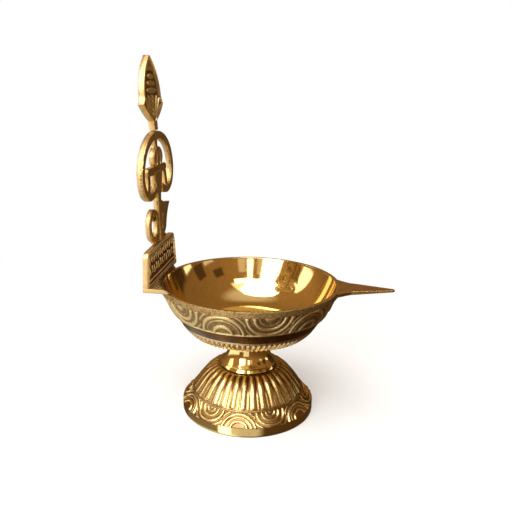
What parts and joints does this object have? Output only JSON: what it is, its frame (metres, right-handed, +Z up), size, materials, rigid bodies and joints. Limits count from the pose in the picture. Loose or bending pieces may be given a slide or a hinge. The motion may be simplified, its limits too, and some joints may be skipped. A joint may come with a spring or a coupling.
{
  "type": "oil lamp",
  "caption": "Brass diya: shallow footed oil bowl with a flat wick spout and an upright openwork scroll crest behind it.",
  "frame": {"origin": "on the table under the middle of the lamp's length, so the bowl's axis is about 7.7 mm behind it", "axes": "+X along the spout, +Y to the far side, +Z up"},
  "size_m": [0.1042, 0.075, 0.1471],
  "materials": {
    "polished_brass": "polished",
    "cast_brass": "cast and brushed, dark in the recesses",
    "satin_brass": "brushed lengthwise",
    "zinc_steel": "zinc plated"
  },
  "bodies": {
    "root": {"foot": "cast_brass", "neck": "polished_brass", "bowl": "polished_brass", "spout": "satin_brass", "crest_plate": "cast_brass", "crest_scroll": "cast_brass", "crest_finial": "cast_brass", "tie_rod": "zinc_steel", "washer": "zinc_steel", "nut": "zinc_steel"}
  },
  "joints": []
}
